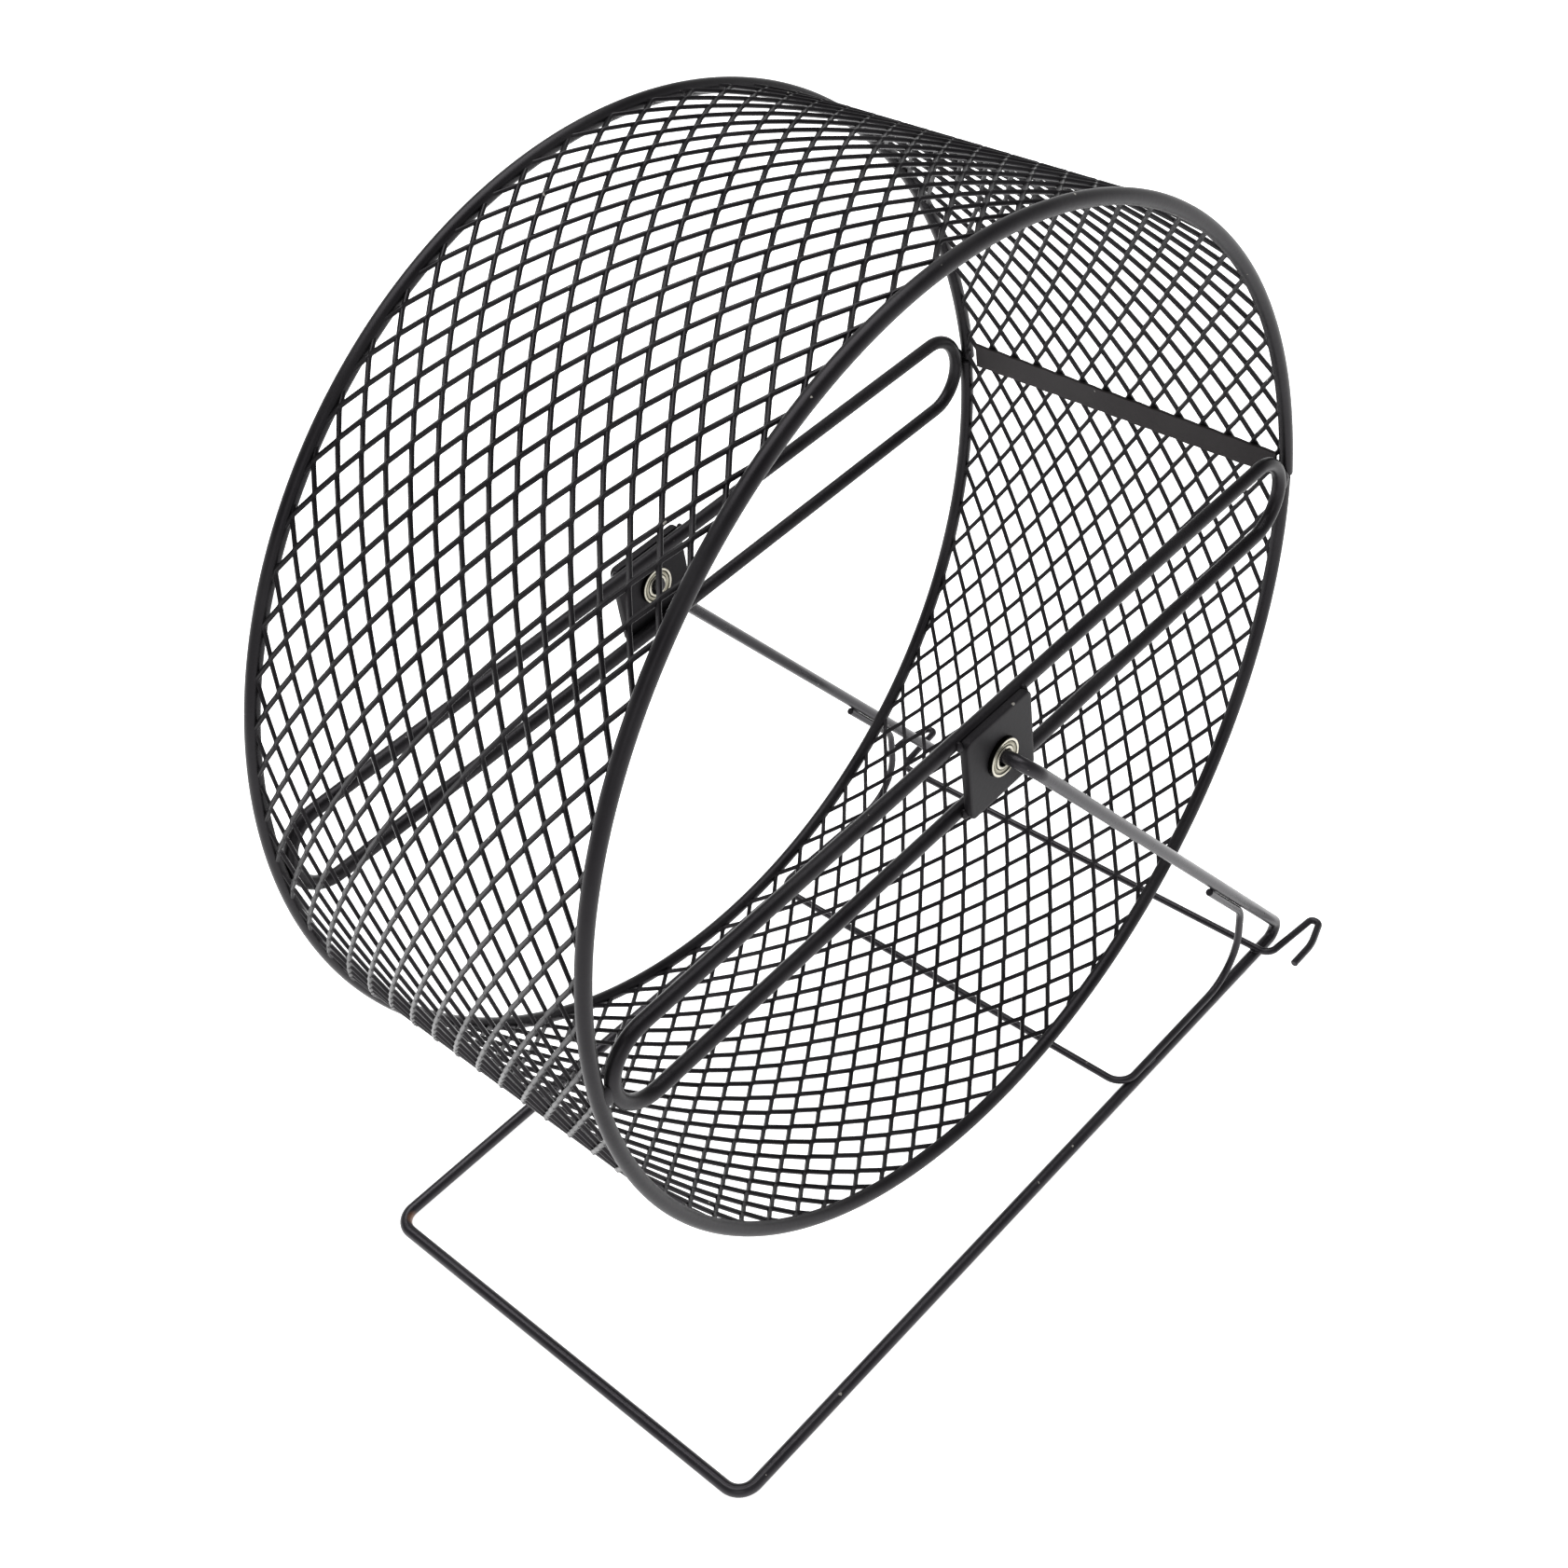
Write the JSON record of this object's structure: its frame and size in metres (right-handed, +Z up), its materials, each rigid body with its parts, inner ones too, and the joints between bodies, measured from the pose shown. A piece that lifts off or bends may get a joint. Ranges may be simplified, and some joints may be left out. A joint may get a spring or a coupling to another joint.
{
  "type": "rodent exercise wheel",
  "caption": "Expanded-metal running drum between wire hoops, turning on two ball bearings carried by a bent wire stand with cage hooks.",
  "frame": {"origin": "on the floor, under the middle of the axle, which is the middle of the box's bottom", "axes": "+X to the back of the stand where the arms and hooks are, +Y along the axle, +Z up"},
  "size_m": [0.28, 0.1756, 0.3096],
  "materials": {
    "stand_coat": "satin black coat on bent steel wire",
    "wheel_coat": "satin black coat on steel mesh and wire",
    "plate_coat": "satin black coat on flat steel plate",
    "ring_steel": "ground bearing steel",
    "shield_steel": "pressed thin steel",
    "ball_steel": "polished balls"
  },
  "bodies": {
    "stand": {"stand_wire": "stand_coat", "brace_wire": "stand_coat", "hook_wire": "stand_coat", "near_inner_ring": "ring_steel", "far_inner_ring": "ring_steel"},
    "wheel": {"mesh_drum": "wheel_coat", "seam_strip": "wheel_coat", "near_hoop": "wheel_coat", "near_loop": "wheel_coat", "near_hub_plate": "plate_coat", "near_outer_ring": "ring_steel", "near_outer_shield": "shield_steel", "near_inner_shield": "shield_steel", "far_hoop": "wheel_coat", "far_loop": "wheel_coat", "far_hub_plate": "plate_coat", "far_outer_ring": "ring_steel", "far_outer_shield": "shield_steel", "far_inner_shield": "shield_steel"},
    "near_ball_set": {"near_balls": "ball_steel", "near_cage": "shield_steel"},
    "far_ball_set": {"far_balls": "ball_steel", "far_cage": "shield_steel"}
  },
  "joints": [
    {"name": "wheel_spin", "type": "hinge", "parent": "stand", "child": "wheel", "pos_m": [0, 0, 0.1696], "axis": [0, 1, 0], "continuous": true},
    {"name": "near_ball_spin", "type": "hinge", "parent": "stand", "child": "near_ball_set", "pos_m": [0, -0.06188, 0.1696], "axis": [0, 1, 0], "continuous": true},
    {"name": "far_ball_spin", "type": "hinge", "parent": "stand", "child": "far_ball_set", "pos_m": [0, 0.06188, 0.1696], "axis": [0, 1, 0], "continuous": true}
  ],
  "couplings": [
    {"joint": "near_ball_spin", "follows": "wheel_spin", "ratio": 0.59925},
    {"joint": "far_ball_spin", "follows": "wheel_spin", "ratio": 0.59925}
  ]
}
